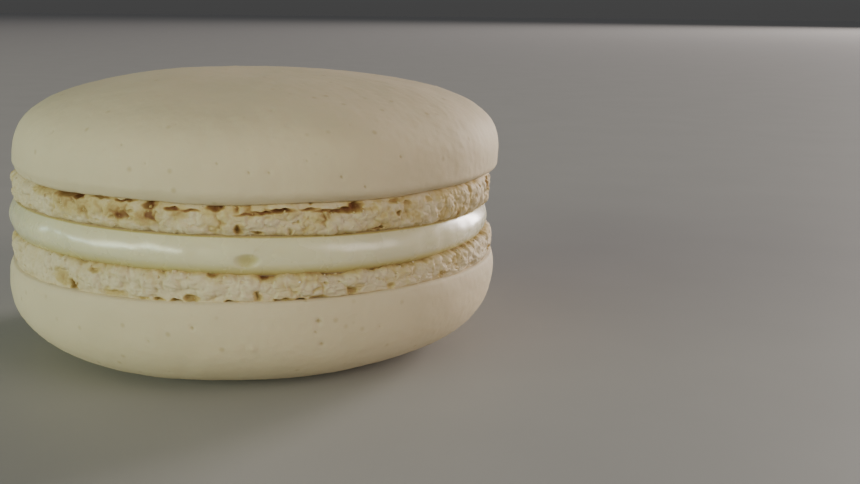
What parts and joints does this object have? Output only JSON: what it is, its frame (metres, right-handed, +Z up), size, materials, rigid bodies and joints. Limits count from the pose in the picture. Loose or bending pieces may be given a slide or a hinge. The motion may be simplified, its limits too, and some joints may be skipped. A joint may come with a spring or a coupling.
{
  "type": "macaron",
  "caption": "Round sandwich cookie: pale baked almond meringue domes with frothy ruffled feet and smooth vanilla cream between them, resting on its flattened underside.",
  "frame": {"origin": "middle of the cookie's footprint, on the surface that it rests on", "axes": "+Z up through the stack of shell, cream and shell; -Y is the front that the picture shows; +X is to the right seen from the front"},
  "size_m": [0.0462, 0.0462, 0.0261],
  "materials": {
    "baked_crust": "matt, fine-grained baked meringue with faint specks",
    "vanilla_cream": "smooth, softly glossy cream"
  },
  "bodies": {
    "root": {"bottom_shell": "baked_crust", "filling": "vanilla_cream", "top_shell": "baked_crust"}
  },
  "joints": []
}
